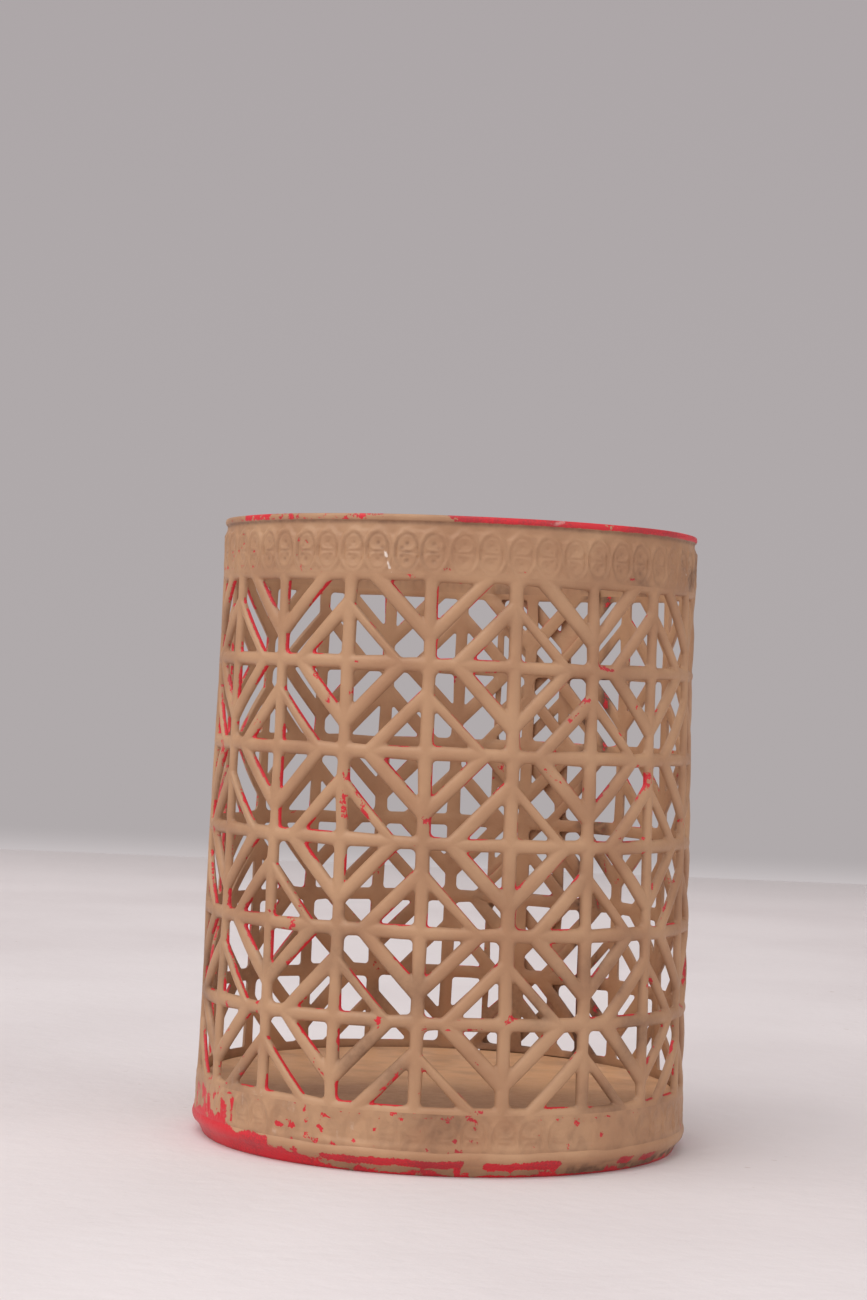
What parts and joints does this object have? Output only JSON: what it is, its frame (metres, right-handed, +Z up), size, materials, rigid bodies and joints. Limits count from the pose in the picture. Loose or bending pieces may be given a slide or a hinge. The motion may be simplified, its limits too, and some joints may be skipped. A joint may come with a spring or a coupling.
{
  "type": "tealight holder",
  "caption": "Round tealight holder: a tapered tube of pierced lattice tin with banded rims on a pressed base pan with a raised floor.",
  "frame": {"origin": "middle of the foot, on the surface that the holder stands on", "axes": "+Z up along the tube's axis, -Y towards the front, +X to the right"},
  "size_m": [0.0772, 0.0772, 0.095],
  "materials": {
    "painted_tin": "matte sand paint over a red undercoat, worn at the edges",
    "painted_pan": "matte sand paint over a red undercoat, dusty inside",
    "painted_solder": "solder under matte paint"
  },
  "bodies": {
    "root": {"pierced_wall": "painted_tin", "base_pan": "painted_pan", "seam_solder": "painted_solder"}
  },
  "joints": []
}
